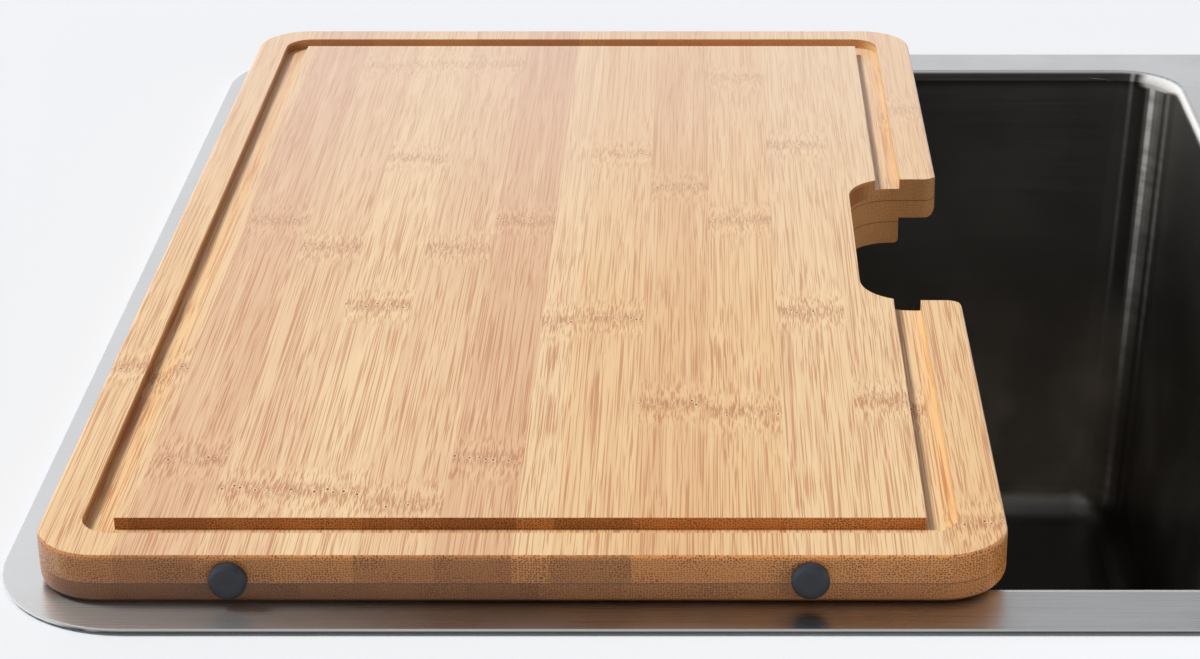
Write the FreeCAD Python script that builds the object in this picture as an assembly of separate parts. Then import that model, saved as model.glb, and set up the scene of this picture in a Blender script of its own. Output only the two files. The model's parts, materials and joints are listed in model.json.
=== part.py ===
import FreeCAD, Part
import math
import os

# A small inset workstation sink: a drawn steel bowl with a flat rim that is wider on the
# right, its waste fitting and clamps below the worktop, and a laminated bamboo board that
# slides along the rim. X runs left to right, Y front to back, Z up, in millimetres. The
# origin is the centre of the bowl, on the surface of the worktop that the sink is set into.

# Rim and bowl
sheet = 1.0
bowl_width = 336.0
bowl_length = 396.0
bowl_corner = 20.0
flange_width = 22.0
right_ledge = 30.0
rim_corner = 36.0
rim_edge_round = 0.3
bowl_depth = 185.0
bowl_draft_deg = 3.0
bend_round = 3.4
floor_round = 12.0
floor_fall = 3.0
floor_flat_band = 6.0

# Seal strip under the rim
seal_thick = 0.8
seal_width = 8.0
seal_inset = 1.5

# Clamps: the worktop they grip, the bracket, its screw and the swinging arm
worktop_thick = 30.0
bracket_width = 16.0
bracket_plate = 2.0
bracket_reach = 10.4
bracket_top = 7.0
bracket_leg = 18.0
screw_out = 5.6
screw_radius = 2.5
screw_top = 3.0
screw_head_flats = 8.0
screw_head_thick = 4.0
screw_slot = 1.2
tapped_clearance = 0.05
arm_width = 9.0
arm_reach = 14.0
arm_plate = 2.0
arm_lip_rise = 3.0
arm_lip_thick = 2.0
swivel_clearance = 0.3
side_clamp_spacing = 240.0

# Rubber pads that deaden the sound
pad_thick = 2.0
pad_top = 62.0
pad_height = 96.0
side_pad_length = 260.0
end_pad_length = 200.0
floor_pad_width = 60.0
floor_pad_length = 220.0
floor_pad_out = 100.0

# Waste fitting
waste_hole_radius = 45.0
recess_radius = 59.0
recess_depth = 2.5
recess_round = 1.0
recess_landing = 4.0
strainer_rim_radius = 56.5
strainer_gap = 3.0
strainer_depth = 30.0
strainer_lip_round = 2.0
seat_opening = 22.0
collar_depth = 6.0
spider_arm = 5.0
spider_ring = 2.0
hub_radius = 8.0
upper_gasket_thick = 1.2
gasket_width = 11.0
lower_gasket_thick = 3.0
housing_wall = 3.0
housing_clearance = 2.0
housing_rim_thick = 4.5
housing_rim_out = 6.0
housing_depth = 44.0
housing_cone = 13.0
outlet_radius = 23.9
outlet_wall = 4.0
outlet_length = 27.0
bridge_width = 6.0
bridge_depth = 8.0
bridge_drop = 8.0
clamp_screw_radius = 3.0
clamp_screw_head = 6.5
clamp_screw_head_thick = 5.0
clamp_screw_past_nut = 1.5
socket_depth = 4.5
nut_flats = 10.0
nut_thick = 5.0
pocket_clearance = 0.1
tail_radius = 20.0
tail_wall = 1.5
tail_flange_thick = 2.0
tail_flange_inset = 0.5
tail_neck = 0.6
tail_neck_cone = 1.0
tail_length = 40.0
washer_thick = 2.5
coupling_wall = 4.5
coupling_lip = 2.8
coupling_length = 21.0
coupling_ribs = 12
coupling_rib_radius = 2.2
coupling_clearance = 0.3

# Basket strainer that lifts out of the waste
basket_sheet = 0.8
basket_clearance = 2.2
basket_floor_radius = 30.0
basket_rim_width = 2.6
basket_below_rim = 2.4
basket_hole_radius = 2.0
basket_wall_holes = 18
basket_wall_rows = (0.3, 0.65)  # heights, as shares of the wall
basket_ring_holes = (8, 12, 18)  # in each ring of the floor, from the inside
basket_ring_radius = 12.0
basket_ring_spacing = 6.5
plug_thick = 3.0
plug_overlap = 6.0
stem_radius = 3.0
socket_clearance = 0.3
stem_above_floor = 12.0
knob_radius = 10.0
knob_foot = 6.5
knob_waist = 5.0
knob_waist_height = 5.2
knob_flare_height = 9.8
knob_height = 13.0
knob_round = 1.5
retainer_radius = 7.0
retainer_thick = 1.0

# Bamboo board: three glued plies, rebated below so that its core drops into the bowl
board_width = 246.0
board_corner = 17.4
ply_thick = 7.6
plies = 3
lip_thick = 13.7
rebate = 12.2
core_corner = 18.0
board_top_round = 1.2
board_lower_round = 3.0
core_lower_round = 1.5
side_gap = 1.2
end_gap = 2.2
groove_width = 8.1
groove_depth = 3.4
groove_corner = 9.0
groove_left = 10.5
groove_right = 12.2
groove_front = 12.4
groove_back = 10.8
notch_length = 100.0
notch_depth = 29.7
notch_inner_round = 15.0
notch_lip_round = 4.5

# Silicone bumpers pushed into the board's front edge
bumper_radius = 4.8
bumper_proud = 2.5
bumper_bevel = 0.9
bumper_dimple = 0.3
bumper_height = 7.4
bumper_inset = 50.5
bumper_stem_radius = 2.4
bumper_stem_length = 8.0
bumper_hole_clearance = 0.1

# Cutting shapes run this far past what they cut, and edges are found to this tolerance
cut_past = 1.0
tolerance = 1e-4

# Levels and places that follow from the sizes above
rim_width = bowl_width + 2 * flange_width + right_ledge
rim_length = bowl_length + 2 * flange_width
rim_centre = (right_ledge / 2, 0.0)
rim_under = seal_thick
rim_top = rim_under + sheet
floor_z = rim_top - bowl_depth
dish_z = floor_z - floor_fall
recess_z = dish_z - recess_depth
recess_under = recess_z - sheet
slope = math.tan(math.radians(bowl_draft_deg))

strainer_under = recess_z + upper_gasket_thick
strainer_top = strainer_under + sheet
cup_radius = waste_hole_radius - strainer_gap - sheet
seat_z = strainer_top - strainer_depth
spider_z = seat_z - collar_depth

housing_top = recess_under - lower_gasket_thick
bell_inner = waste_hole_radius + housing_clearance
bell_radius = bell_inner + housing_wall
bell_bottom = housing_top - housing_depth
outlet_top = bell_bottom - housing_cone
outlet_end = outlet_top - outlet_length
outlet_bore = outlet_radius - outlet_wall
bridge_top = outlet_top - bridge_drop
bridge_under = bridge_top - bridge_depth
nut_top = bridge_under + nut_thick

washer_under = outlet_end - washer_thick
tail_flange_under = washer_under - tail_flange_thick
tail_flange_radius = outlet_radius - tail_flange_inset
coupling_radius = outlet_radius + pocket_clearance
coupling_end = tail_flange_under - coupling_lip
tail_top = coupling_end - tail_neck_cone
tail_end = tail_top - tail_length
neck_radius = tail_radius + tail_neck

plug_under = seat_z
plug_top = plug_under + plug_thick
basket_top = strainer_top - basket_below_rim

board_left = -bowl_width / 2 + side_gap - rebate
board_right = board_left + board_width
board_centre = (board_left + board_right) / 2
board_top = rim_top + lip_thick
board_under = board_top - plies * ply_thick
core_width = board_width - 2 * rebate
core_length = bowl_length - 2 * end_gap
board_length = core_length + 2 * rebate
board_front = -board_length / 2

arm_top = -worktop_thick - arm_lip_rise
arm_under = arm_top - arm_plate
clip_places = (
    (0, side_clamp_spacing / 2), (0, -side_clamp_spacing / 2), (90, 0),
    (180, side_clamp_spacing / 2), (180, -side_clamp_spacing / 2), (270, 0),
)

up = FreeCAD.Vector(0, 0, 1)


def point(x, y, z):
    return FreeCAD.Vector(x, y, z)


def rounded_wire(width, length, radius, z, centre=(0.0, 0.0)):
    """A closed rectangle with round corners, flat at height z."""
    x, y = width / 2 - radius, length / 2 - radius
    arcs = []
    for corner_x, corner_y, angle in ((x, -y, 270), (x, y, 0), (-x, y, 90), (-x, -y, 180)):
        middle = point(centre[0] + corner_x, centre[1] + corner_y, z)
        arcs.append(Part.makeCircle(radius, middle, up, angle, angle + 90))
    edges = []
    for index, arc in enumerate(arcs):
        following = arcs[(index + 1) % len(arcs)]
        edges.append(arc)
        edges.append(Part.makeLine(arc.valueAt(arc.LastParameter),
                                   following.valueAt(following.FirstParameter)))
    return Part.Wire(edges)


def rounded_plate(width, length, radius, low, high, centre=(0.0, 0.0)):
    face = Part.Face(rounded_wire(width, length, radius, low, centre))
    return face.extrude(point(0, 0, high - low))


def tapered_block(top_width, top_length, top_z, bottom_z, radius):
    """The bowl's drafted form between two levels, narrower at the bottom."""
    inset = (top_z - bottom_z) * slope
    top = rounded_wire(top_width, top_length, radius, top_z)
    bottom = rounded_wire(top_width - 2 * inset, top_length - 2 * inset, radius, bottom_z)
    return Part.makeLoft([bottom, top], True, True)


def disc(radius, low, high, x=0.0, y=0.0):
    return Part.makeCylinder(radius, high - low, point(x, y, low), up)


def ring(outer, inner, low, high, x=0.0, y=0.0):
    return disc(outer, low, high, x, y).cut(disc(inner, low, high, x, y))


def turned(profile):
    """A solid of revolution about Z from (radius, height) corners."""
    corners = [point(radius, 0, z) for radius, z in profile]
    face = Part.Face(Part.makePolygon(corners + corners[:1]))
    return face.revolve(point(0, 0, 0), up, 360)


def hexagon(flats, low, high, x=0.0, y=0.0):
    reach = flats / math.sqrt(3)
    corners = [point(x + reach * math.cos(math.radians(60 * k)),
                     y + reach * math.sin(math.radians(60 * k)), low) for k in range(7)]
    return Part.Face(Part.makePolygon(corners)).extrude(point(0, 0, high - low))


def edges_at(shape, z, keep=lambda edge: True):
    """The shape's edges that lie flat at height z and pass the test."""
    found = []
    for edge in shape.Edges:
        box = edge.BoundBox
        flat = abs(box.ZMin - z) < tolerance and abs(box.ZMax - z) < tolerance
        if flat and keep(edge):
            found.append(edge)
    return found


def turned_about_z(shape, angle):
    copy = shape.copy()
    copy.rotate(point(0, 0, 0), up, angle)
    return copy


def wall_out(angle, z):
    """How far the bowl's outer wall stands from the centre on one side, at height z."""
    half = bowl_width / 2 if angle % 180 == 0 else bowl_length / 2
    return half + sheet - (rim_top - z) * slope


def wall_plate(angle, low, high, thickness, width, along=0.0):
    """A flat plate against the drafted outer wall on one side."""
    corners = [
        point(wall_out(angle, low), along - width / 2, low),
        point(wall_out(angle, high), along - width / 2, high),
        point(wall_out(angle, high) + thickness, along - width / 2, high),
        point(wall_out(angle, low) + thickness, along - width / 2, low),
    ]
    plate = Part.Face(Part.makePolygon(corners + corners[:1])).extrude(point(0, width, 0))
    return turned_about_z(plate, angle)


def dish_size():
    inset = bowl_depth * slope + floor_round + floor_flat_band
    return bowl_width - 2 * inset, bowl_length - 2 * inset


def dish(z_shift):
    """The shallow fall of the floor from the walls to the waste."""
    landing = 2 * (recess_radius + recess_landing)
    top = rounded_wire(*dish_size(), bowl_corner, floor_z + z_shift)
    bottom = rounded_wire(landing, landing, recess_radius, dish_z + z_shift)
    return Part.makeLoft([bottom, top], True, True)


def round_the_bowl(edge):
    """Whether a flat edge at rim level runs round the bowl and not round the rim."""
    middle = edge.CenterOfMass
    beyond = 3 * sheet
    return abs(middle.x) < bowl_width / 2 + beyond and abs(middle.y) < bowl_length / 2 + beyond


def is_recess_edge(edge):
    circular = isinstance(edge.Curve, Part.Circle)
    return circular and abs(edge.Curve.Radius - recess_radius) < tolerance


def sink_bowl():
    inner = tapered_block(bowl_width, bowl_length, rim_top, floor_z, bowl_corner)
    inner = inner.makeFillet(floor_round, edges_at(inner, floor_z))
    outer = tapered_block(bowl_width + 2 * sheet, bowl_length + 2 * sheet, rim_top,
                          floor_z - sheet, bowl_corner + sheet)
    outer = outer.makeFillet(floor_round + sheet, edges_at(outer, floor_z - sheet))
    inner = inner.fuse(dish(0.0)).fuse(disc(recess_radius, recess_z, dish_z))
    outer = outer.fuse(dish(-sheet)).fuse(disc(recess_radius + sheet, recess_under, dish_z))

    rim = rounded_plate(rim_width, rim_length, rim_corner, rim_under, rim_top, rim_centre)
    rim = rim.makeFillet(rim_edge_round, edges_at(rim, rim_top))
    body = rim.fuse(outer).removeSplitter()
    body = body.makeFillet(bend_round - sheet, edges_at(body, rim_under, round_the_bowl))
    shell = body.cut(inner)
    shell = shell.makeFillet(bend_round, edges_at(shell, rim_top, round_the_bowl))
    shell = shell.makeFillet(recess_round, edges_at(shell, dish_z, is_recess_edge))
    return shell.cut(disc(waste_hole_radius, recess_under, recess_z))


def rim_seal():
    outer_width = rim_width - 2 * seal_inset
    outer_length = rim_length - 2 * seal_inset
    outer = rounded_plate(outer_width, outer_length, rim_corner - seal_inset, 0, seal_thick,
                          rim_centre)
    inner = rounded_plate(outer_width - 2 * seal_width, outer_length - 2 * seal_width,
                          rim_corner - seal_inset - seal_width, 0, seal_thick, rim_centre)
    return outer.cut(inner)


def clip_axis(angle):
    """Distance from the centre to the clamp screw on one side."""
    return wall_out(angle, rim_top) + screw_out


def clip_bracket(angle, along):
    top = -bracket_top
    leg = wall_plate(angle, top - bracket_leg, top, bracket_plate, bracket_width, along)
    reach = wall_out(angle, rim_top) + bracket_reach
    low = top - bracket_plate
    corners = [
        point(wall_out(angle, low), along - bracket_width / 2, low),
        point(wall_out(angle, top), along - bracket_width / 2, top),
        point(reach, along - bracket_width / 2, top),
        point(reach, along - bracket_width / 2, low),
    ]
    tab = Part.Face(Part.makePolygon(corners + corners[:1])).extrude(point(0, bracket_width, 0))
    hole = disc(screw_radius + tapped_clearance, low, top, clip_axis(angle), along)
    return leg.fuse(turned_about_z(tab.cut(hole), angle)).removeSplitter()


def clip_screw(angle, along):
    x = clip_axis(angle)
    shank = disc(screw_radius, arm_under, -screw_top, x, along)
    head = hexagon(screw_head_flats, arm_under - screw_head_thick, arm_under, x, along)
    slot = Part.makeBox(screw_head_flats * 2, screw_slot, screw_slot,
                        point(x - screw_head_flats, along - screw_slot / 2,
                              arm_under - screw_head_thick))
    return turned_about_z(shank.fuse(head).cut(slot), angle)


def clip_arm(angle, along):
    x = clip_axis(angle)
    half = arm_width / 2
    plate = disc(half, arm_under, arm_top, x, along)
    blade = Part.makeBox(arm_reach, arm_width, arm_plate, point(x, along - half, arm_under))
    lip = Part.makeBox(arm_lip_thick, arm_width, arm_lip_rise,
                       point(x + arm_reach - arm_lip_thick, along - half, arm_top))
    hole = disc(screw_radius + swivel_clearance, arm_under, arm_top, x, along)
    return turned_about_z(plate.fuse(blade).fuse(lip).cut(hole).removeSplitter(), angle)


def wall_pad(angle, length):
    return wall_plate(angle, -pad_top - pad_height, -pad_top, pad_thick, length)


def floor_pad(side):
    """A pad under the floor, left or right of the waste, that follows the floor's fall."""
    level = floor_z - sheet
    block = rounded_plate(*dish_size(), bowl_corner, level, level + pad_thick)
    above = dish(-sheet).fuse(block)
    layer = above.translated(point(0, 0, -pad_thick)).cut(above)
    area = Part.makeBox(floor_pad_width, floor_pad_length, bowl_depth,
                        point(side * floor_pad_out - floor_pad_width / 2,
                              -floor_pad_length / 2, dish_z - bowl_depth / 2))
    return layer.common(area)


def strainer_gasket():
    outer = waste_hole_radius + gasket_width
    return ring(outer, waste_hole_radius, recess_z, strainer_under)


def waste_gasket():
    outer = waste_hole_radius + gasket_width
    return ring(outer, waste_hole_radius, housing_top, recess_under)


def strainer_cup():
    """The steel cup whose rim closes the hole and whose seat takes the plug."""
    outer = cup_radius + sheet
    cup = turned([
        (strainer_rim_radius, strainer_under), (strainer_rim_radius, strainer_top),
        (cup_radius, strainer_top), (cup_radius, seat_z), (seat_opening, seat_z),
        (seat_opening, spider_z), (0, spider_z), (0, spider_z - sheet),
        (seat_opening + sheet, spider_z - sheet), (seat_opening + sheet, seat_z - sheet),
        (outer, seat_z - sheet), (outer, strainer_under),
    ])
    mouth = edges_at(cup, strainer_top, lambda edge: edge.Curve.Radius < strainer_rim_radius)
    cup = cup.makeFillet(strainer_lip_round, mouth)
    windows = ring(seat_opening - spider_ring, hub_radius, spider_z - sheet, spider_z)
    for angle in (0, 90):
        bar = Part.makeBox(2 * seat_opening, spider_arm, sheet,
                           point(-seat_opening, -spider_arm / 2, spider_z - sheet))
        windows = windows.cut(turned_about_z(bar, angle))
    screw_hole = disc(clamp_screw_radius + pocket_clearance, spider_z - sheet, spider_z)
    return cup.cut(windows).cut(screw_hole)


def waste_housing():
    """The moulded lower body: rim, bell, cone and threaded outlet with a bridge for the nut."""
    rim_out = bell_radius + housing_rim_out
    shell = turned([
        (bell_inner, housing_top), (rim_out, housing_top),
        (rim_out, housing_top - housing_rim_thick),
        (bell_radius, housing_top - housing_rim_thick), (bell_radius, bell_bottom),
        (outlet_radius, outlet_top), (outlet_radius, outlet_end), (outlet_bore, outlet_end),
        (outlet_bore, outlet_top), (bell_inner, bell_bottom + housing_wall),
    ])
    bridge = Part.makeBox(2 * outlet_bore + outlet_wall, bridge_width, bridge_depth,
                          point(-outlet_bore - outlet_wall / 2, -bridge_width / 2, bridge_under))
    boss = disc(hub_radius, bridge_under, bridge_top)
    bore = disc(clamp_screw_radius + pocket_clearance, bridge_under, bridge_top)
    pocket = hexagon(nut_flats + 2 * pocket_clearance, bridge_under, nut_top)
    return shell.fuse(bridge).fuse(boss).cut(bore).cut(pocket).removeSplitter()


def clamp_nut():
    nut = hexagon(nut_flats, bridge_under, nut_top)
    return nut.cut(disc(clamp_screw_radius + tapped_clearance, bridge_under, nut_top))


def clamp_screw():
    head = disc(clamp_screw_head, spider_z, spider_z + clamp_screw_head_thick)
    shank = disc(clamp_screw_radius, bridge_under - clamp_screw_past_nut, spider_z)
    head_top = spider_z + clamp_screw_head_thick
    socket = disc(stem_radius + socket_clearance, head_top - socket_depth, head_top)
    return head.fuse(shank).cut(socket)


def tailpiece():
    bore = tail_radius - tail_wall
    return turned([
        (tail_flange_radius, washer_under), (bore, washer_under), (bore, tail_end),
        (tail_radius, tail_end), (tail_radius, tail_top), (neck_radius, coupling_end),
        (neck_radius, tail_flange_under), (tail_flange_radius, tail_flange_under),
    ])


def tail_washer():
    return ring(tail_flange_radius, tail_radius - tail_wall, washer_under, outlet_end)


def coupling_nut():
    outer = coupling_radius + coupling_wall
    top = coupling_end + coupling_length
    nut = turned([
        (coupling_radius, top), (outer, top), (outer, coupling_end),
        (neck_radius + coupling_clearance, coupling_end),
        (neck_radius + coupling_clearance, tail_flange_under),
        (coupling_radius, tail_flange_under),
    ])
    inside = disc(outer - coupling_wall / 2, coupling_end, top)
    for index in range(coupling_ribs):
        angle = math.radians(360 * index / coupling_ribs)
        rib = disc(coupling_rib_radius, coupling_end, top,
                   outer * math.cos(angle), outer * math.sin(angle))
        nut = nut.fuse(rib.cut(inside))
    return nut.removeSplitter()


def basket_cup():
    """The perforated cup, with a turned-out rim and a flat floor over the plug."""
    top_radius = cup_radius - basket_clearance - basket_rim_width
    floor_top = plug_top + basket_sheet
    cup = turned([
        (0, plug_top), (basket_floor_radius, plug_top),
        (top_radius + basket_sheet, basket_top - basket_sheet),
        (top_radius + basket_rim_width, basket_top - basket_sheet),
        (top_radius + basket_rim_width, basket_top), (top_radius, basket_top),
        (basket_floor_radius - basket_sheet, floor_top), (0, floor_top),
    ])
    drills = [disc(stem_radius, plug_top, floor_top)]
    for place, holes in enumerate(basket_ring_holes):
        radius = basket_ring_radius + place * basket_ring_spacing
        for index in range(holes):
            angle = math.radians(360 * index / holes)
            drills.append(disc(basket_hole_radius, plug_top, floor_top,
                               radius * math.cos(angle), radius * math.sin(angle)))
    height = basket_top - floor_top
    inside = basket_floor_radius - 2 * basket_hole_radius
    for row in basket_wall_rows:
        for index in range(basket_wall_holes):
            angle = 2 * math.pi * (index + row) / basket_wall_holes
            outward = point(math.cos(angle), math.sin(angle), 0)
            start = outward * inside + point(0, 0, floor_top + row * height)
            drills.append(Part.makeCylinder(basket_hole_radius, cup_radius - inside,
                                            start, outward))
    return cup.cut(Part.makeCompound(drills))


def basket_plug():
    return ring(seat_opening + plug_overlap, stem_radius, plug_under, plug_top)


def basket_retainer():
    return ring(retainer_radius, stem_radius, plug_under - retainer_thick, plug_under)


def basket_stem():
    bottom = spider_z + clamp_screw_head_thick - socket_depth + socket_clearance
    return disc(stem_radius, bottom, plug_top + basket_sheet + stem_above_floor)


def basket_knob():
    base = plug_top + basket_sheet + stem_above_floor
    top = base + knob_height
    knob = turned([
        (0, base), (knob_foot, base), (knob_waist, base + knob_waist_height),
        (knob_radius, base + knob_flare_height), (knob_radius, top), (0, top),
    ])
    return knob.makeFillet(knob_round, edges_at(knob, top))


def board_blank():
    """The whole glued board, before it is told apart into plies."""
    centre = (board_centre, 0.0)
    lip = rounded_plate(board_width, board_length, board_corner, rim_top, board_top, centre)
    lip = lip.makeFillet(board_lower_round, edges_at(lip, rim_top))
    lip = lip.makeFillet(board_top_round, edges_at(lip, board_top))
    core = rounded_plate(core_width, core_length, core_corner, board_under,
                         rim_top + lip_thick / 2, centre)
    core = core.makeFillet(core_lower_round, edges_at(core, board_under))
    board = lip.fuse(core).cut(juice_groove()).cut(notch())
    for x in bumper_places():
        board = board.cut(bumper_hole(x))
    return board


def juice_groove():
    low, high = board_top - groove_depth, board_top
    width = board_width - groove_left - groove_right
    length = board_length - groove_front - groove_back
    centre = (board_left + groove_left + width / 2, board_front + groove_front + length / 2)
    outer = rounded_plate(width, length, groove_corner, low, high, centre)
    island = Part.makeBox(width - 2 * groove_width, length - 2 * groove_width, groove_depth,
                          point(centre[0] - width / 2 + groove_width,
                                centre[1] - length / 2 + groove_width, low))
    return outer.cut(island)


def notch():
    """The hand notch: round inner corners, and round outer corners where it meets the edge."""
    low, high = board_under - cut_past, board_top + cut_past
    inner = board_right - notch_depth
    hollow = rounded_plate(2 * notch_depth, notch_length, notch_inner_round, low, high,
                           (inner + notch_depth, 0.0))
    slab = Part.makeBox(notch_lip_round + cut_past, notch_length + 2 * notch_lip_round, high - low,
                        point(board_right - notch_lip_round,
                              -notch_length / 2 - notch_lip_round, low))
    for side in (-1, 1):
        corner = disc(notch_lip_round, low, high, board_right - notch_lip_round,
                      side * (notch_length / 2 + notch_lip_round))
        slab = slab.cut(corner)
    return hollow.fuse(slab)


def bumper_places():
    return (board_left + bumper_inset, board_right - bumper_inset)


def bumper_hole(x):
    start = point(x, board_front, rim_top + bumper_height)
    return Part.makeCylinder(bumper_stem_radius + bumper_hole_clearance,
                             bumper_stem_length + bumper_hole_clearance, start,
                             point(0, 1, 0))


def board_ply(blank, index):
    """One ply of the board, counted from the top."""
    high = board_top - index * ply_thick
    slab = Part.makeBox(board_width, board_length, ply_thick,
                        point(board_left, board_front, high - ply_thick))
    return blank.common(slab)


def board_bumper(x):
    face = bumper_proud
    profile = [
        (0, -bumper_stem_length), (bumper_stem_radius, -bumper_stem_length),
        (bumper_stem_radius, 0), (bumper_radius, 0), (bumper_radius, face - bumper_bevel),
        (bumper_radius - bumper_bevel, face), (0, face),
    ]
    bumper = turned(profile)
    hollow = turned([(0, face), (bumper_radius - 2 * bumper_bevel, face),
                     (0, face - bumper_dimple)])
    bumper = bumper.cut(hollow)
    bumper.rotate(point(0, 0, 0), point(1, 0, 0), 90)
    bumper.translate(point(x, board_front, rim_top + bumper_height))
    return bumper


def export(name, shapes):
    """Write one sub-part, whether it is one solid or several alike."""
    solids = [solid for shape in shapes for solid in shape.Solids]
    shape = solids[0] if len(solids) == 1 else Part.makeCompound(solids)
    closed = all(solid.isValid() and solid.isClosed() for solid in solids)
    shape.exportStep(os.path.join("parts", name + ".step"))
    print(f"{name}: {len(solids)} solids, {shape.Volume / 1000:.2f} cm3, closed and valid: {closed}")


def main():
    os.makedirs("parts", exist_ok=True)
    export("sink_bowl", [sink_bowl()])
    export("rim_seal", [rim_seal()])
    export("clip_brackets", [clip_bracket(*place) for place in clip_places])
    export("clip_screws", [clip_screw(*place) for place in clip_places])
    for index, place in enumerate(clip_places):
        export(f"clip_arm_{index + 1}", [clip_arm(*place)])
    export("sound_pad_right", [wall_pad(0, side_pad_length)])
    export("sound_pad_back", [wall_pad(90, end_pad_length)])
    export("sound_pad_left", [wall_pad(180, side_pad_length)])
    export("sound_pad_front", [wall_pad(270, end_pad_length)])
    export("floor_pad_left", [floor_pad(-1)])
    export("floor_pad_right", [floor_pad(1)])
    export("strainer_gasket", [strainer_gasket()])
    export("strainer_cup", [strainer_cup()])
    export("waste_gasket", [waste_gasket()])
    export("waste_housing", [waste_housing()])
    export("clamp_nut", [clamp_nut()])
    export("clamp_screw", [clamp_screw()])
    export("tail_washer", [tail_washer()])
    export("tailpiece", [tailpiece()])
    export("coupling_nut", [coupling_nut()])
    export("basket_cup", [basket_cup()])
    export("basket_plug", [basket_plug()])
    export("basket_retainer", [basket_retainer()])
    export("basket_stem", [basket_stem()])
    export("basket_knob", [basket_knob()])
    blank = board_blank()
    for index, name in enumerate(("top", "middle", "bottom")):
        export(f"board_{name}_ply", [board_ply(blank, index)])
    for name, x in zip(("left", "right"), bumper_places()):
        export(f"board_bumper_{name}", [board_bumper(x)])


main()
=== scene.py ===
import json
import math

import bpy
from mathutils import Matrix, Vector


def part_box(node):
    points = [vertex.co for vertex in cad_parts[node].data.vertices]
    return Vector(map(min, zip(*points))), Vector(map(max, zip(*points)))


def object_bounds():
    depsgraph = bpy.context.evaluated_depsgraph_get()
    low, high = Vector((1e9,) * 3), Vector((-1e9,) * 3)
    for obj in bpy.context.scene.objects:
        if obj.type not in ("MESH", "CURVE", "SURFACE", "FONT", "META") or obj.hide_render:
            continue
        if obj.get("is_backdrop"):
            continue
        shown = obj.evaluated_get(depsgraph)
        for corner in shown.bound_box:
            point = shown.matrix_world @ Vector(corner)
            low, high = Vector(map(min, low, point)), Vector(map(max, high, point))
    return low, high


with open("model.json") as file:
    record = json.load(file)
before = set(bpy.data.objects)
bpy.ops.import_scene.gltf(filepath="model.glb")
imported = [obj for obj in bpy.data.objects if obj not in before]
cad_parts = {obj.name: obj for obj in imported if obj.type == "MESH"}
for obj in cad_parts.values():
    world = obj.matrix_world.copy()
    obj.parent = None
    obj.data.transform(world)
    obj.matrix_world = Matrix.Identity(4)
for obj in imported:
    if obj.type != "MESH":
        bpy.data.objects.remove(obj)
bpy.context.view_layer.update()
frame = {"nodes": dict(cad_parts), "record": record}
nodes = frame["nodes"]
print("frame loaded")

mm = 0.001


# small helpers for node trees
def seen(red, green, blue):  # a colour as it shows on screen, 0 to 255
    parts = [part / 255 for part in (red, green, blue)]
    return tuple(p / 12.92 if p < 0.04045 else ((p + 0.055) / 1.055) ** 2.4 for p in parts) + (1.0,)


def newMaterial(name, **sockets):  # sockets are the shader's own, with underscores for spaces
    material = bpy.data.materials.new(name)
    material.use_nodes = True
    shader = material.node_tree.nodes["Principled BSDF"]
    for socket, value in sockets.items():
        shader.inputs[socket.replace("_", " ")].default_value = value
    return material, material.node_tree, shader


def addNode(tree, kind, inputs=None, **settings):
    made = tree.nodes.new("ShaderNode" + kind)
    for name, value in settings.items():
        setattr(made, name, value)
    for name, value in (inputs or {}).items():
        if isinstance(value, bpy.types.NodeSocket):
            tree.links.new(value, made.inputs[name])
        else:
            made.inputs[name].default_value = value
    return made


def maths(tree, operation, *values):
    return addNode(tree, "Math", dict(enumerate(values)), operation=operation).outputs[0]


def times(tree, first, *others):
    for other in others:
        first = maths(tree, "MULTIPLY", first, other)
    return first


def largest(tree, first, *others):
    for other in others:
        first = maths(tree, "MAXIMUM", first, other)
    return first


def plus(tree, first, second):
    return maths(tree, "ADD", first, second)


def minus(tree, first, second):
    return maths(tree, "SUBTRACT", first, second)


def unsigned(tree, value):  # without its sign
    return maths(tree, "ABSOLUTE", value)


def fade(tree, value, start, end, low=0.0, high=1.0):  # a soft step from low to high
    made = addNode(tree, "MapRange", {0: value, 1: start, 2: end, 3: low, 4: high},
                   interpolation_type="SMOOTHSTEP")
    return made.outputs[0]


def blend(tree, factor, first, second):
    return addNode(tree, "Mix", {0: factor, 2: first, 3: second}).outputs[0]


def mixColour(tree, factor, first, second, way="MIX"):
    made = addNode(tree, "Mix", {0: factor, 6: first, 7: second}, data_type="RGBA", blend_type=way)
    return made.outputs[2]


def vector(tree, x, y, z):
    return addNode(tree, "CombineXYZ", {0: x, 1: y, 2: z}).outputs[0]


def shaded(tree, colour, level):  # a colour times a grey level
    return mixColour(tree, 1.0, colour, vector(tree, level, level, level), "MULTIPLY")


def scaled(tree, source, sizes):  # sizes of the pattern along each axis, in metres
    made = addNode(tree, "Mapping", {"Vector": source, "Scale": [1 / size for size in sizes]})
    return made.outputs[0]


def noise(tree, source, sizes, detail=2.0, roughness=0.5):
    made = addNode(tree, "TexNoise", {"Vector": scaled(tree, source, sizes), "Scale": 1.0,
                                      "Detail": detail, "Roughness": roughness})
    return made.outputs["Fac"]


def bump(tree, height, shader, strength, distance):
    made = addNode(tree, "Bump", {"Height": height, "Strength": strength, "Distance": distance})
    tree.links.new(made.outputs[0], shader.inputs["Normal"])


def places(tree):  # object coordinates, whole and apart
    coordinates = addNode(tree, "TexCoord").outputs["Object"]
    apart = addNode(tree, "SeparateXYZ", {0: coordinates})
    return coordinates, apart.outputs[0], apart.outputs[1], apart.outputs[2]


def facing(tree):  # the flat normal, apart
    normal = addNode(tree, "NewGeometry").outputs["True Normal"]
    apart = addNode(tree, "SeparateXYZ", {0: normal})
    return apart.outputs[0], apart.outputs[1], apart.outputs[2]


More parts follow.
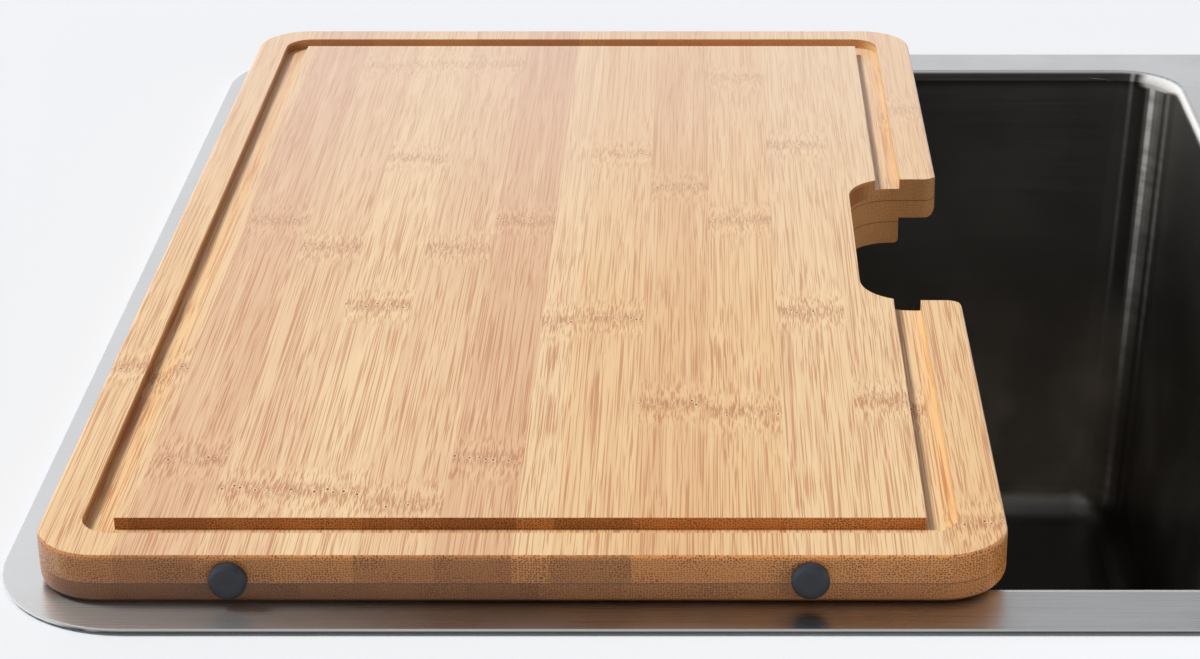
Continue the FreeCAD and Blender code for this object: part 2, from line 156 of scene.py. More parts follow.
def stepRamp(tree, value, stops):  # one flat colour for each stretch; stops are (start, colour)
    made = addNode(tree, "ValToRGB", {0: value})
    elements = made.color_ramp.elements
    made.color_ramp.interpolation = "CONSTANT"
    elements.remove(elements[1])
    elements[0].position, elements[0].color = stops[0]
    for start, colour in stops[1:]:
        elements.new(start).color = colour
    return made


# bamboo: glued strips with fibres, knuckles and, on the cut ends, dotted end grain
bamboo = {
    "tones": {
        "pale": seen(238, 204, 154),
        "honey": seen(235, 196, 141),
        "amber": seen(229, 186, 131),
        "tan": seen(232, 194, 146),
        "rose": seen(224, 180, 134),
    },
    "fibre": seen(182, 108, 54),
    "light": seen(246, 216, 170),
    "knuckle": seen(180, 112, 60),
    "pit": seen(124, 58, 22),
    "halo": seen(250, 224, 184),
    "endGrain": seen(220, 160, 96),
    # the dark dots of the end grain, also the colour of the painted shade on the front face
    "endDotAndShade": seen(84, 44, 20),
    # painted light on end faces further back, such as the notch walls
    "notch": seen(240, 190, 138),
    # painted light on groove sides that face the lamp
    "litGrooveSide": seen(226, 196, 138),
    "shadedSide": seen(150, 86, 46),
    # the glue lines' colour, also used for the painted shadow at the foot of the front face
    "glueAndFootShadow": seen(74, 42, 26),
    # painted sheen: the pale haze at the far end of the board
    "sheenPale": seen(214, 196, 206),
    # how large each pattern is along x, y and z
    "longFibre": (0.34 * mm, 48 * mm, 0.34 * mm),
    "middleFibre": (0.35 * mm, 22 * mm, 0.35 * mm),
    "shortFibre": (0.38 * mm, 7 * mm, 0.38 * mm),
    "speckle": (0.4 * mm, 4.5 * mm, 0.4 * mm),
    "patch": (9 * mm, 55 * mm, 9 * mm),
    "broad": (3.2 * mm, 110 * mm, 3.2 * mm),
    "wave": (5 * mm, 9 * mm, 5 * mm),
    "wander": (9 * mm, 60 * mm, 9 * mm),
    "crowd": (9 * mm, 9 * mm, 5 * mm),
    "endDotSize": (0.72 * mm, 0.64 * mm),  # along x and z
    # how far fibres and knuckle lines stray, and how pits are spread
    "waveBy": 0.7 * mm,
    "wanderBy": 5 * mm,
    "pitGap": 2.3 * mm,
    "pitStray": 4.4 * mm,
    "pitLength": 0.62,
    "reach": 0.21,  # half the length that holds knuckles
    # soft steps by a pattern's level: start, end and perhaps the values there
    "fibreEdge": (0.5, 0.6),
    "middleFibreEdge": (0.51, 0.61),
    "patchEdge": (0.46, 0.58),
    "broadShade": (0.5, 0.75, 0.0, 0.16),
    "broadLight": (0.48, 0.3, 0.0, 0.3),
    "fibreCover": (0.3, 0.65, 0.58, 0.74),
    "speckleCover": (0.46, 0.58, 0.12, 0.74),
    "dotRadius": (0.3, 0.7, 0.2, 0.31),
    "darkEnd": (0.1, 0.9, 0.0, 0.36),
    "roughness": (0.0, 1.0, 0.36, 0.46),
    # soft steps by which way a face looks
    "cutFace": (0.12, 0.3),
    "edgeFace": (0.6, 0.3),
    "sideFace": (0.4, 0.8),
    # soft steps by distance
    "knuckleBand": (6.5 * mm, 1 * mm),
    "knuckleSides": (20 * mm, 7 * mm),
    "pitRadius": (0.1, 1.0, 0.08 * mm, 0.38 * mm),
    "haloEdge": (0.42 * mm, 0.12 * mm),
    "pitEdge": (0.1 * mm, -0.08 * mm),
    # painted sheen: towards the far end the grain fades and the wood turns paler
    "sheenFading": (-130 * mm, 190 * mm, 1.0, 0.45),  # along the board
    "paintedSheen": (-70 * mm, 190 * mm, 0.0, 0.2),
    "frontFace": (-200 * mm, -205 * mm),
    "frontLength": (-150 * mm, 50 * mm),
    "notchFace": (-150 * mm, -140 * mm),
    # painted shadow at the foot of the front face
    "footShadow": (4 * mm, 2 * mm),  # up from the worktop
    "grooveBottom": (9 * mm, 9.5 * mm),
    "grooveTop": (15.2 * mm, 14 * mm),
    "grooveAcross": (0.48, 0.46),
    "glueLine": (0.3 * mm, 0.1 * mm),
    # how strongly each layer covers the one below
    "haloCover": 0.55,
    "pitCover": 0.85,
    "dotCover": 0.92,
    "dotEdge": 0.1,
    # painted shade on the front face, at the left and at the right
    "frontShadeCover": (1.2, 0.5),  # at the left and right, times the ply's own shade
    # painted light on end faces further back
    "notchCover": 0.4,
    "glueCover": 0.5,
    # painted shadow at the foot of the front face
    "footShadowCover": 0.75,
    "litSideCover": 0.8,
    "shadedSideCover": 0.65,
    "coat": 0.38,
    "coatRoughness": 0.28,
    "relief": 0.12 * mm,
}

# each strip: right edge in mm, tone, where its knuckles lie along it in mm, and how dark its cut end is
topStrips = [
    (-157.0, "honey", (-97,), 0.62), (-137.3, "rose", (14, -154), 0.93),
    (-117.6, "tan", (166, -9, -172), 0.53), (-97.8, "pale", (168, 71, -54, -173), 0.42),
    (-78.0, "tan", (168, -9, -180), 0.69), (-58.0, "rose", (13, -155), 0.98), (-49.0, "pale", (-65,), 0.34),
    (-29.0, "honey", (74, -63), 0.90), (-9.0, "amber", (43, -121), 0.05),
    (11.0, "honey", (153, 14, -126), 0.08), (31.0, "pale", (83, -58), 0.11), (51.0, "pale", (-118,), 0.14),
    (67.0, "honey", (118, -190), 0.40),
]
middleStrips = [
    (-158.0, "tan", (40, -120), 0.55), (-133.0, "rose", (-60,), 0.90), (-111.0, "amber", (120, -30), 0.80),
    (-92.0, "tan", (60,), 0.60), (-70.0, "honey", (-150,), 0.50), (-52.0, "amber", (10,), 0.70),
    (-31.0, "rose", (90, -90), 0.30), (-12.0, "honey", (-20,), 0.02), (9.0, "tan", (140,), 0.12),
    (28.0, "amber", (50, -140), 0.18), (44.0, "rose", (-70,), 0.15), (67.0, "honey", (20,), 0.06),
]
bottomStrips = [
    (-147.0, "rose", (-40,), 0.90), (-127.0, "tan", (100,), 0.75), (-106.0, "honey", (-110, 60), 0.95),
    (-86.0, "amber", (10,), 0.60), (-66.0, "tan", (150, -70), 0.50), (-45.0, "honey", (-5,), 0.10),
    (-25.0, "rose", (80,), 0.35), (-4.0, "amber", (-130, 30), 0.20), (16.0, "tan", (110,), 0.08),
    (36.0, "honey", (-50,), 0.15), (67.0, "rose", (0,), 0.05),
]


# the last argument sets how much painted shade darkens the ply's front face
def makeBamboo(name, strips, frontPaintedShade):  # frontPaintedShade is how much darker the ply's front edge is
    material, tree, shader = newMaterial(name, Coat_Roughness=bamboo["coatRoughness"])
    _, x, y, z = places(tree)
    boardLow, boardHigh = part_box("board_top_ply")
    boardWidth = boardHigh.x - boardLow.x
    across = maths(tree, "DIVIDE", minus(tree, x, boardLow.x), boardWidth)
    span = 2 * bamboo["reach"]

    tones, knuckles, start = [], [], 0.0
    for edge, tone, marks, seed in strips:
        marks = [mark * mm / span + 0.5 for mark in marks]
        marks += [marks[-1]] * (4 - len(marks))
        tones.append((start, bamboo["tones"][tone][:3] + (seed,)))
        knuckles.append((start, tuple(marks)))
        start = (edge * mm - boardLow.x) / boardWidth
    toneRamp = stepRamp(tree, across, tones)
    knuckleRamp = stepRamp(tree, across, knuckles)
    tone, seed = toneRamp.outputs["Color"], toneRamp.outputs["Alpha"]

    # distance to the nearest knuckle, on a slightly wavy line
    stripX, stripY = plus(tree, x, seed), plus(tree, y, seed)
    shifted = vector(tree, stripX, stripY, z)
    wander = minus(tree, noise(tree, shifted, bamboo["wander"]), 0.5)
    along = maths(tree, "MULTIPLY_ADD", wander, bamboo["wanderBy"], y)
    along = maths(tree, "MULTIPLY_ADD", along, 1 / span, 0.5)
    apart = addNode(tree, "SeparateColor", {0: knuckleRamp.outputs["Color"]})
    beside = 1.0
    for mark in (*apart.outputs[:3], knuckleRamp.outputs["Alpha"]):
        gap = minus(tree, along, mark)
        closer = maths(tree, "LESS_THAN", unsigned(tree, gap), unsigned(tree, beside))
        beside = blend(tree, closer, beside, gap)
    beside = times(tree, beside, span)
    nearest = unsigned(tree, beside)
    band = fade(tree, nearest, *bamboo["knuckleBand"])
    around = fade(tree, nearest, *bamboo["knuckleSides"])

    # fibres run along the board, shorter and wavy beside a knuckle
    wave = minus(tree, noise(tree, shifted, bamboo["wave"], 1.0), 0.5)
    bent = times(tree, wave, around, bamboo["waveBy"])
    grain = vector(tree, plus(tree, stripX, bent), stripY, z)
    long = fade(tree, noise(tree, grain, bamboo["longFibre"], 1.0), *bamboo["fibreEdge"])
    middle = fade(tree, noise(tree, grain, bamboo["middleFibre"], 1.0), *bamboo["middleFibreEdge"])
    short = fade(tree, noise(tree, grain, bamboo["shortFibre"], 1.0), *bamboo["fibreEdge"])
    patches = fade(tree, noise(tree, shifted, bamboo["patch"], 1.0), *bamboo["patchEdge"])
    lines = blend(tree, around, blend(tree, patches, long, middle), short)
    broad = noise(tree, grain, bamboo["broad"], 2.0, 0.6)

    wood = mixColour(tree, fade(tree, broad, *bamboo["broadShade"]), tone, bamboo["fibre"])
    wood = mixColour(tree, fade(tree, broad, *bamboo["broadLight"]), wood, bamboo["light"])
    # painted sheen: grain, knuckles and pits fade towards the far end
    sheenFaint = fade(tree, y, *bamboo["sheenFading"])
    depth = times(tree, fade(tree, broad, *bamboo["fibreCover"]), sheenFaint)
    wood = mixColour(tree, times(tree, lines, depth), wood, bamboo["fibre"])
    speckle = fade(tree, noise(tree, grain, bamboo["speckle"], 1.0), *bamboo["speckleCover"])
    wood = mixColour(tree, times(tree, band, sheenFaint, speckle), wood, bamboo["knuckle"])
    # painted sheen: the far end mixed towards a pale haze
    wood = mixColour(tree, fade(tree, y, *bamboo["paintedSheen"]), wood, bamboo["sheenPale"])

    # a row of dark pits with pale rims along each knuckle
    row = addNode(tree, "TexVoronoi", {"W": maths(tree, "DIVIDE", stripX, bamboo["pitGap"]), "Scale": 1.0,
                                       "Randomness": 0.9}, voronoi_dimensions="1D")
    aside = times(tree, row.outputs["Distance"], bamboo["pitGap"])
    chance = addNode(tree, "SeparateColor", {0: row.outputs["Color"]}).outputs
    stray = maths(tree, "MULTIPLY_ADD", chance[0], bamboo["pitStray"], -bamboo["pitStray"] / 2)
    offset = times(tree, minus(tree, beside, stray), bamboo["pitLength"])
    away = maths(tree, "SQRT", plus(tree, times(tree, aside, aside), times(tree, offset, offset)))
    away = minus(tree, away, fade(tree, chance[1], *bamboo["pitRadius"]))
    halo = fade(tree, away, *bamboo["haloEdge"])
    pits = fade(tree, away, *bamboo["pitEdge"])
    wood = mixColour(tree, times(tree, halo, bamboo["haloCover"]), wood, bamboo["halo"])
    wood = mixColour(tree, times(tree, pits, sheenFaint, bamboo["pitCover"]), wood, bamboo["pit"])

    # end grain on faces that look along the board, with painted shade on the front face and painted light
    # further back
    nx, ny, nz = facing(tree)
    cut = fade(tree, unsigned(tree, ny), *bamboo["cutFace"])
    dotWidth, dotHeight = bamboo["endDotSize"]
    flat = vector(tree, maths(tree, "DIVIDE", x, dotWidth), maths(tree, "DIVIDE", z, dotHeight), 0.0)
    dots = addNode(tree, "TexVoronoi", {"Vector": flat, "Scale": 1.0, "Randomness": 0.62},
                   voronoi_dimensions="2D").outputs["Distance"]
    radius = fade(tree, noise(tree, shifted, bamboo["crowd"]), *bamboo["dotRadius"])
    dots = fade(tree, dots, plus(tree, radius, bamboo["dotEdge"]), minus(tree, radius, bamboo["dotEdge"]))
    endTone = mixColour(tree, 0.5, bamboo["endGrain"], tone, "MULTIPLY")
    endTone = mixColour(tree, fade(tree, seed, *bamboo["darkEnd"]), endTone, bamboo["endDotAndShade"])
    ends = mixColour(tree, times(tree, dots, bamboo["dotCover"]), endTone, bamboo["endDotAndShade"])
    # painted shade: the front face darkened, more at the left than at the right
    front = fade(tree, y, *bamboo["frontFace"])
    shade = [frontPaintedShade * cover for cover in bamboo["frontShadeCover"]]
    shade = fade(tree, x, *bamboo["frontLength"], *shade)
    ends = mixColour(tree, times(tree, front, shade), ends, bamboo["endDotAndShade"])
    # painted light: end faces further back, such as the notch walls, are lightened
    inNotch = fade(tree, y, *bamboo["notchFace"])
    ends = mixColour(tree, times(tree, inNotch, bamboo["notchCover"]), ends, bamboo["notch"])
    wood = mixColour(tree, cut, wood, ends)

    # thin dark glue lines between the plies, on the edges only
    upright = fade(tree, unsigned(tree, nz), *bamboo["edgeFace"])
    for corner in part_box("board_middle_ply"):
        fromLine = unsigned(tree, minus(tree, z, corner.z))
        line = times(tree, fade(tree, fromLine, *bamboo["glueLine"]), upright, bamboo["glueCover"])
        wood = mixColour(tree, line, wood, bamboo["glueAndFootShadow"])

    # groove sides: painted light, a yellow tone where they face the lamp, and painted shade, brown where they
    # don't
    fromCentre = unsigned(tree, minus(tree, across, 0.5))
    withinGroove = times(tree, fade(tree, z, *bamboo["grooveBottom"]), fade(tree, z, *bamboo["grooveTop"]),
                         fade(tree, fromCentre, *bamboo["grooveAcross"]))
    for way, cover, colour in ((-1, "litSideCover", "litGrooveSide"), (1, "shadedSideCover", "shadedSide")):
        start, end = (way * level for level in bamboo["sideFace"])
        side = fade(tree, nx, start, end, 0.0, bamboo[cover])
        wood = mixColour(tree, times(tree, withinGroove, side), wood, bamboo[colour])
    # painted shadow: the foot of the front face darkened where it meets the worktop
    footShadow = times(tree, fade(tree, z, *bamboo["footShadow"]), front, bamboo["footShadowCover"])
    wood = mixColour(tree, footShadow, wood, bamboo["glueAndFootShadow"])

    tree.links.new(wood, shader.inputs["Base Color"])
    rough = largest(tree, fade(tree, lines, *bamboo["roughness"]), pits)
    tree.links.new(rough, shader.inputs["Roughness"])
    shine = minus(tree, 1.0, largest(tree, pits, withinGroove))
    tree.links.new(times(tree, shine, bamboo["coat"]), shader.inputs["Coat Weight"])
    height = minus(tree, 1.0, times(tree, lines, 0.3))
    bump(tree, height, shader, 0.35, bamboo["relief"])
    return material


# steel, in the finishes that the sink and its fittings have, and the bowl's colours for painted shade, glow
# and highlight
steel = {
    "rim": seen(199, 199, 198),
    # the inside of the bowl, darker than the rim as painted shade
    "bowl": seen(150, 147, 142),
    # painted shade: the bowl's floor
    "floor": seen(68, 66, 63),
    "under": seen(176, 178, 180),
    # painted light: the glow low on the bowl's walls
    "paintedGlow": seen(232, 220, 204),
    "polished": seen(224, 225, 226),
    "zinc": seen(198, 203, 208),
    # painted highlight in the bowl's corners
    "bright": seen(236, 236, 234),
}
bowlCorner = {
    "halfWidth": 168 * mm,
    "halfLength": 198 * mm,
    "radius": 20 * mm,
    "draft": math.tan(math.radians(3)),
    "top": 1.8 * mm,
    # places round the corner and how bright the painted highlight is there
    "highlightStreaks": [(0.15, 0.0), (0.195, 0.34), (0.24, 0.0), (0.36, 0.0), (0.42, 0.3), (0.455, 1.0), (0.495, 1.0),
                (0.535, 0.42), (0.62, 0.3), (0.68, 0.08), (0.76, 0.3), (0.84, 0.06), (0.92, 0.01)],
}
bowlSteps = {  # soft steps by depth in the bowl: start, end and perhaps the values there
    # painted shade and light: the end walls darker near the lip, the side walls lighter high up and darker
    # deep, and where the floor is painted dark as shade
    "endLipShade": (3 * mm, 7 * mm, 0.16, 0.5),
    "endWallShade": (6 * mm, 75 * mm, 0.0, 0.7),
    "sideWallLightAndShade": (10 * mm, 120 * mm, 1.4, 0.5),
    "floor": (172 * mm, 184 * mm),
    "wall": (182 * mm, 172 * mm),
    # the painted corner highlight fades with depth and lifts again near the floor
    "highlightPolish": (4 * mm, 150 * mm, 1.0, 0.55),
    "highlightPolishFoot": (150 * mm, 170 * mm, 0.0, 0.45),
    # painted light: where the glow low on the walls begins and is full
    "paintedGlow": (70 * mm, 165 * mm),
}
bowlPatterns = {  # how large each is along x, y and z
    "brushed": (60 * mm, 0.25 * mm, 0.25 * mm),
    "patches": (26 * mm, 34 * mm, 30 * mm),
    "beads": (14 * mm, 14 * mm, 3.4 * mm),
}
bowlLooks = {  # soft steps by pattern, height or facing
    "insideFace": (-0.04, 0.0),
    "belowFace": (0.0, -0.03),
    "sideFace": (0.5, 0.95),
    "insideLip": (1.75 * mm, 0.9 * mm),
    "foldLip": (1.75 * mm, 1.3 * mm),
    "foldDepth": (0.05, 0.6, 6 * mm, 2.5 * mm),
    "foldTurn": (0.24, 0.4),
    "beads": (0.3, 0.66, 0.7, 1.0),
    "glowPatches": (0.3, 0.7, 0.5, 1.0),
    "glowFace": (0.4, 0.98, 0.2, 0.95),
    "brushShade": (0.3, 0.7, 0.95, 1.04),
    "brushRough": (0.3, 0.7, 0.22, 0.32),
    "patchRough": (0.3, 0.7, 0.0, 0.05),
    "hazeAlong": (-55 * mm, -190 * mm, 0.0, 0.36),
    "hazeFront": (-198 * mm, -208 * mm),
}
# how much of the painted highlight is non-metal, the height of the painted lip highlight, and the brushing's
# relief
bowlMatt = {"highlightPolish": 0.95, "addedRough": 0.08, "foldHeight": 2 * mm, "relief": 0.03 * mm}


def makeBowlSteel():
    material, tree, shader = newMaterial("satinSteel")
    place, x, y, z = places(tree)
    nx, ny, nz = facing(tree)
    brushed = noise(tree, place, bowlPatterns["brushed"], 3.0, 0.7)
    patches = noise(tree, place, bowlPatterns["patches"])
    insideFace = fade(tree, nz, *bowlLooks["insideFace"])
    inside = times(tree, fade(tree, z, *bowlLooks["insideLip"]), insideFace)
    below = fade(tree, nz, *bowlLooks["belowFace"])
    depth = minus(tree, bowlCorner["top"], z)
    step = {name: fade(tree, depth, *values) for name, values in bowlSteps.items()}
    # painted shade and light inside the bowl, by depth and by which wall: the bowl colour darker than the
    # rim, and the floor painted dark
    aside = fade(tree, unsigned(tree, nx), *bowlLooks["sideFace"])
    dim = blend(tree, aside, plus(tree, step["endLipShade"], step["endWallShade"]), step["sideWallLightAndShade"])
    colour = mixColour(tree, inside, steel["rim"], shaded(tree, steel["bowl"], dim))
    colour = mixColour(tree, times(tree, inside, step["floor"]), colour, steel["floor"])
    colour = mixColour(tree, below, colour, steel["under"])

    # painted highlight streaks round the four upright corners, beaded like polish marks and fading with
    # depth: 0 at the long wall, 1 at the short one
    slope = times(tree, depth, bowlCorner["draft"])
    reach = []
    for position, half in ((x, "halfWidth"), (y, "halfLength")):
        middle = minus(tree, bowlCorner[half] - bowlCorner["radius"], slope)
        reach.append(minus(tree, unsigned(tree, position), middle))
    turn = maths(tree, "DIVIDE", maths(tree, "ARCTAN2", *reach), math.pi / 2)
    highlightStreaks = addNode(tree, "ValToRGB", {0: turn})
    highlightStreaks.color_ramp.interpolation = "EASE"
    elements = highlightStreaks.color_ramp.elements
    for element, end in zip(elements, (0.0, 1.0)):
        element.position, element.color = end, (0, 0, 0, 1)
    for position, level in bowlCorner["highlightStreaks"]:
        elements.new(position).color = (level, level, level, 1)
    beads = fade(tree, noise(tree, place, bowlPatterns["beads"]), *bowlLooks["beads"])
    upright = times(tree, step["wall"], inside)
    highlightPolish = plus(tree, step["highlightPolish"], step["highlightPolishFoot"])
    # painted highlight: the streaks times the beads, faded with depth, on the walls only
    ground = times(tree, highlightStreaks.outputs["Color"], beads, highlightPolish, upright)

    # the painted highlight also runs over the corner's rounded lip
    foldDepth = fade(tree, unsigned(tree, minus(tree, turn, 0.5)), *bowlLooks["foldDepth"])
    foldTop = minus(tree, foldDepth, bowlMatt["foldHeight"])
    lipHighlight = times(tree, fade(tree, depth, foldDepth, foldTop), insideFace,
                 fade(tree, z, *bowlLooks["foldLip"]), fade(tree, turn, *bowlLooks["foldTurn"]))
    ground = largest(tree, ground, lipHighlight)

    # painted light: a soft glow low on the walls, lighter and less metallic in patches
    paintedGlow = times(tree, step["paintedGlow"], fade(tree, patches, *bowlLooks["glowPatches"]), upright,
                 fade(tree, unsigned(tree, ny), *bowlLooks["glowFace"]))
    colour = mixColour(tree, paintedGlow, colour, steel["paintedGlow"])
    # painted highlight in bright steel
    colour = mixColour(tree, ground, colour, steel["bright"])
    colour = shaded(tree, colour, fade(tree, brushed, *bowlLooks["brushShade"]))
    tree.links.new(colour, shader.inputs["Base Color"])

    # the brushing scatters a little light at the rim's front left
    onRim = minus(tree, 1.0, largest(tree, inside, below))
    haze = times(tree, fade(tree, x, *bowlLooks["hazeAlong"]), fade(tree, y, *bowlLooks["hazeFront"]), onRim)
    # the painted highlight and glow are made mostly non-metal too
    soft = largest(tree, times(tree, ground, bowlMatt["highlightPolish"]), paintedGlow, haze)
    tree.links.new(minus(tree, 1.0, soft), shader.inputs["Metallic"])
    rough = plus(tree, fade(tree, brushed, *bowlLooks["brushRough"]),
                 fade(tree, patches, *bowlLooks["patchRough"]))
    rough = plus(tree, rough, times(tree, plus(tree, below, inside), bowlMatt["addedRough"]))
    tree.links.new(rough, shader.inputs["Roughness"])
    bump(tree, brushed, shader, 0.12, bowlMatt["relief"])
    return material


def makeSteel(name, colour, roughness, grainSize, grain=0.06):
    material, tree, shader = newMaterial(name, Metallic=1.0)
    lines = noise(tree, places(tree)[0], grainSize, 3.0, 0.65)
    tree.links.new(shaded(tree, colour, fade(tree, lines, 0.25, 0.75, 1.0 - grain, 1.0)),
                   shader.inputs["Base Color"])
    rough = fade(tree, lines, 0.25, 0.75, roughness * 0.8, roughness * 1.2)
    tree.links.new(rough, shader.inputs["Roughness"])
    bump(tree, lines, shader, 0.1, 0.02 * mm)
    return material


def makeMoulded(name, colour, roughness, grainSize, grain=0.05, relief=0.03 * mm, studs=0.0):
    material, tree, shader = newMaterial(name, Specular_IOR_Level=0.4)
    place, x, y, z = places(tree)
    skin = noise(tree, place, (grainSize,) * 3, 3.0, 0.6)
    cloud = noise(tree, place, (grainSize * 30,) * 3)
    level = plus(tree, fade(tree, cloud, 0.3, 0.7, 1.0 - grain, 1.0),
                 fade(tree, skin, 0.3, 0.7, -grain / 2, grain / 2))
    tree.links.new(shaded(tree, colour, level), shader.inputs["Base Color"])
    tree.links.new(fade(tree, skin, 0.3, 0.7, roughness * 0.88, roughness * 1.1), shader.inputs["Roughness"])
    if studs:  # rows of round studs, the same on every side
        rows = 0.0
        for along in (x, y, z):
            rows = plus(tree, rows, maths(tree, "SINE", times(tree, along, math.tau / studs)))
        skin = maths(tree, "MULTIPLY_ADD", fade(tree, rows, -0.2, 1.2), 3.0, skin)
    bump(tree, skin, shader, 0.4, relief)
    return material


finishes = {
    "satin_steel": makeBowlSteel(),
    "polished_steel": makeSteel("polishedSteel", steel["polished"], 0.16, (2 * mm, 2 * mm, 0.3 * mm)),
    "zinc_steel": makeSteel("zincSteel", steel["zinc"], 0.34, (1.6 * mm, 1.6 * mm, 1.6 * mm), 0.16),
    "brass": makeSteel("machinedBrass", seen(214, 178, 104), 0.26, (3 * mm, 3 * mm, 0.25 * mm)),
    "slate_silicone": makeMoulded("slateSilicone", seen(46, 51, 59), 0.42, 0.5 * mm),
    "seal_foam": makeMoulded("sealFoam", seen(44, 44, 46), 0.85, 0.6 * mm, 0.25, 0.1 * mm),
    "sound_rubber": makeMoulded("soundRubber", seen(76, 76, 78), 0.66, 0.8 * mm, 0.12, 0.3 * mm, 7 * mm),
    "black_rubber": makeMoulded("blackRubber", seen(38, 38, 39), 0.6, 0.5 * mm),
    "pale_plastic": makeMoulded("palePlastic", seen(228, 228, 224), 0.38, 0.5 * mm),
    "grey_plastic": makeMoulded("greyPlastic", seen(122, 125, 128), 0.42, 0.5 * mm),
}
bambooOfPly = {
    "board_top_ply": makeBamboo("bambooTop", topStrips, 0.0),
    "board_middle_ply": makeBamboo("bambooMiddle", middleStrips, 0.5),
    "board_bottom_ply": makeBamboo("bambooBottom", bottomStrips, 0.12),
}
slotOfNode = {part["node"]: part["material_slot"] for part in frame["record"]["subparts"]}
for name, node in nodes.items():
    node.data.materials.clear()
    node.data.materials.append(bambooOfPly.get(name) or finishes[slotOfNode[name]])
print("finishes given")

# worktop with the sink's cut-out, and a floor below
worktop = {
    "low": (-0.44, -0.262, -0.03),
    "high": (0.30, 0.36, 0.0),
    "cut": (0.36, 0.42, 0.09),
    "cutCorner": 0.015,
    "edge": 0.002,
    "colour": seen(241, 246, 252),
}
floor = {"size": 6.0, "under": 0.0005, "colour": seen(240, 241, 243)}


def plainWhite(name, colour):
    return newMaterial(name, Base_Color=colour, Roughness=0.6, Specular_IOR_Level=0.2)[0]


def addBox(lengths, middle=(0.0, 0.0, 0.0)):
    bpy.ops.mesh.primitive_cube_add(size=1, location=middle)
    box = bpy.context.object
    box.scale = lengths
    bpy.ops.object.transform_apply(location=True, rotation=True, scale=True)
    return box


def roundUprights(box, radius):
    bpy.ops.object.mode_set(mode="EDIT")
    bpy.ops.mesh.select_all(action="DESELECT")
    bpy.ops.object.mode_set(mode="OBJECT")
    for edge in box.data.edges:
        first, second = (box.data.vertices[index].co for index in edge.vertices)
        edge.select = first.z * second.z < 0
    bpy.ops.object.mode_set(mode="EDIT")
    bpy.ops.mesh.bevel(offset=radius, segments=8)
    bpy.ops.object.mode_set(mode="OBJECT")


def addWorktop():
    low, high = Vector(worktop["low"]), Vector(worktop["high"])
    bpy.ops.object.select_all(action="DESELECT")
    slab = addBox(high - low, (low + high) / 2)
    slab.name = "worktop"
    cutter = addBox(worktop["cut"])
    roundUprights(cutter, worktop["cutCorner"])
    bpy.ops.object.select_all(action="DESELECT")
    bpy.context.view_layer.objects.active = slab
    slab.select_set(True)
    cut = slab.modifiers.new("cut", "BOOLEAN")
    cut.object, cut.operation, cut.solver = cutter, "DIFFERENCE", "EXACT"
    bpy.ops.object.modifier_apply(modifier=cut.name)
    bpy.data.objects.remove(cutter)
    rounding = slab.modifiers.new("edge", "BEVEL")
    rounding.width, rounding.segments, rounding.limit_method = worktop["edge"], 3, "ANGLE"
    bpy.ops.object.modifier_apply(modifier=rounding.name)
    slab.data.materials.append(plainWhite("worktopWhite", worktop["colour"]))
    slab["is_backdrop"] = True


def addFloor():
    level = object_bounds()[0].z - floor["under"]
    bpy.ops.mesh.primitive_plane_add(size=floor["size"], location=(0, 0, level))
    ground = bpy.context.object
    ground.name = "floor"
    ground.data.materials.append(plainWhite("floorPale", floor["colour"]))
    ground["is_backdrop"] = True


addWorktop()
addFloor()
print("stage built")

# soft daylight with a bright ceiling, a window's light from the left and a fill from the right front
lamps = {
    "window": {"kind": "SUN", "place": (-1.3, 0.25, 1.8), "aim": (0.0, 0.0, 0.0), "size": 0.26, "power": 2.9,
               "colour": (1.0, 0.995, 0.99)},
    "sideFill": {"kind": "AREA", "place": (0.75, -0.58, 0.13), "aim": (0.0, -0.1, 0.0), "size": 0.2,
                 "power": 0.185, "colour": (1.0, 0.97, 0.93), "spread": 50},
}
daylight = {
    "light": 0.25,
    "lightColour": seen(255, 244, 232),
    "colour": seen(250, 251, 255),
    "dim": 0.4,
    "bright": 1.3,
    # soft steps by direction: start, end and perhaps the values there
    "windowSide": (0.05, -0.25),
    "windowTop": (0.85, 0.6),
    "horizon": (0.47, 0.3),
    "front": (-0.6, -0.1, 0.7, 1.0),
    "ceiling": (0.62, 0.85, 1.0, 1.9),
}


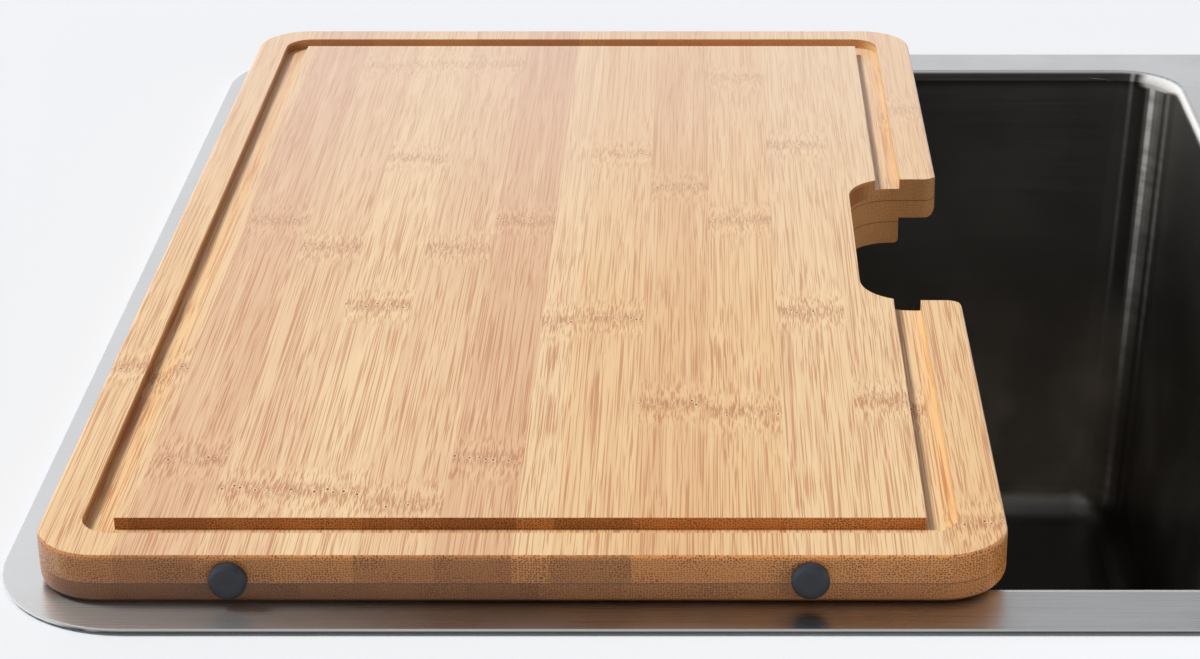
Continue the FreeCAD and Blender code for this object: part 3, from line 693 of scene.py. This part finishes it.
def addLamp(name, kind, place, aim, size, power, colour, spread=180):
    bpy.ops.object.light_add(type=kind, location=place)
    lamp = bpy.context.object
    lamp.name = name
    lamp.rotation_euler = (Vector(aim) - Vector(place)).to_track_quat("-Z", "Y").to_euler()
    lamp.visible_glossy = False  # in gloss, the daylight alone shows
    lamp.data.energy = power
    lamp.data.color = colour
    if kind == "SUN":
        lamp.data.angle = size
    else:
        lamp.data.size = size
        lamp.data.spread = math.radians(spread)  # narrow, to stay off the floor


def lightWorld():
    world = bpy.data.worlds.new("daylight")
    bpy.context.scene.world = world
    world.use_nodes = True
    tree = world.node_tree
    background = tree.nodes["Background"]
    direction = addNode(tree, "TexCoord").outputs["Generated"]
    aside, back, up = addNode(tree, "SeparateXYZ", {0: direction}).outputs
    window = times(tree, fade(tree, aside, *daylight["windowSide"]), fade(tree, up, *daylight["windowTop"]))
    lit = largest(tree, window, fade(tree, up, *daylight["horizon"]))
    shown = maths(tree, "MULTIPLY_ADD", lit, daylight["bright"] - daylight["dim"], daylight["dim"])
    shown = times(tree, shown, fade(tree, back, *daylight["front"]), fade(tree, up, *daylight["ceiling"]))
    rays = addNode(tree, "LightPath").outputs
    seenRay = largest(tree, rays["Is Camera Ray"], rays["Is Glossy Ray"], rays["Is Transmission Ray"])
    tree.links.new(mixColour(tree, seenRay, daylight["lightColour"], daylight["colour"]),
                   background.inputs["Color"])
    tree.links.new(blend(tree, seenRay, daylight["light"], shown), background.inputs["Strength"])


for name, lamp in lamps.items():
    addLamp(name, **lamp)
lightWorld()
print("lights placed")

# the camera looks down on the sink from its front edge
camera = {"place": (-0.0092, -0.8083, 0.3492), "tilt": 24.36, "lens": 82.82, "sensor": 36, "shift": -0.08945}
bpy.ops.object.camera_add(location=camera["place"], rotation=(math.radians(90 - camera["tilt"]), 0, 0))
eye = bpy.context.object
eye.data.lens = camera["lens"]
eye.data.sensor_width = camera["sensor"]
eye.data.shift_x = camera["shift"]
bpy.context.scene.camera = eye
bpy.context.scene.view_settings.view_transform = "Standard"

print("scene ready")
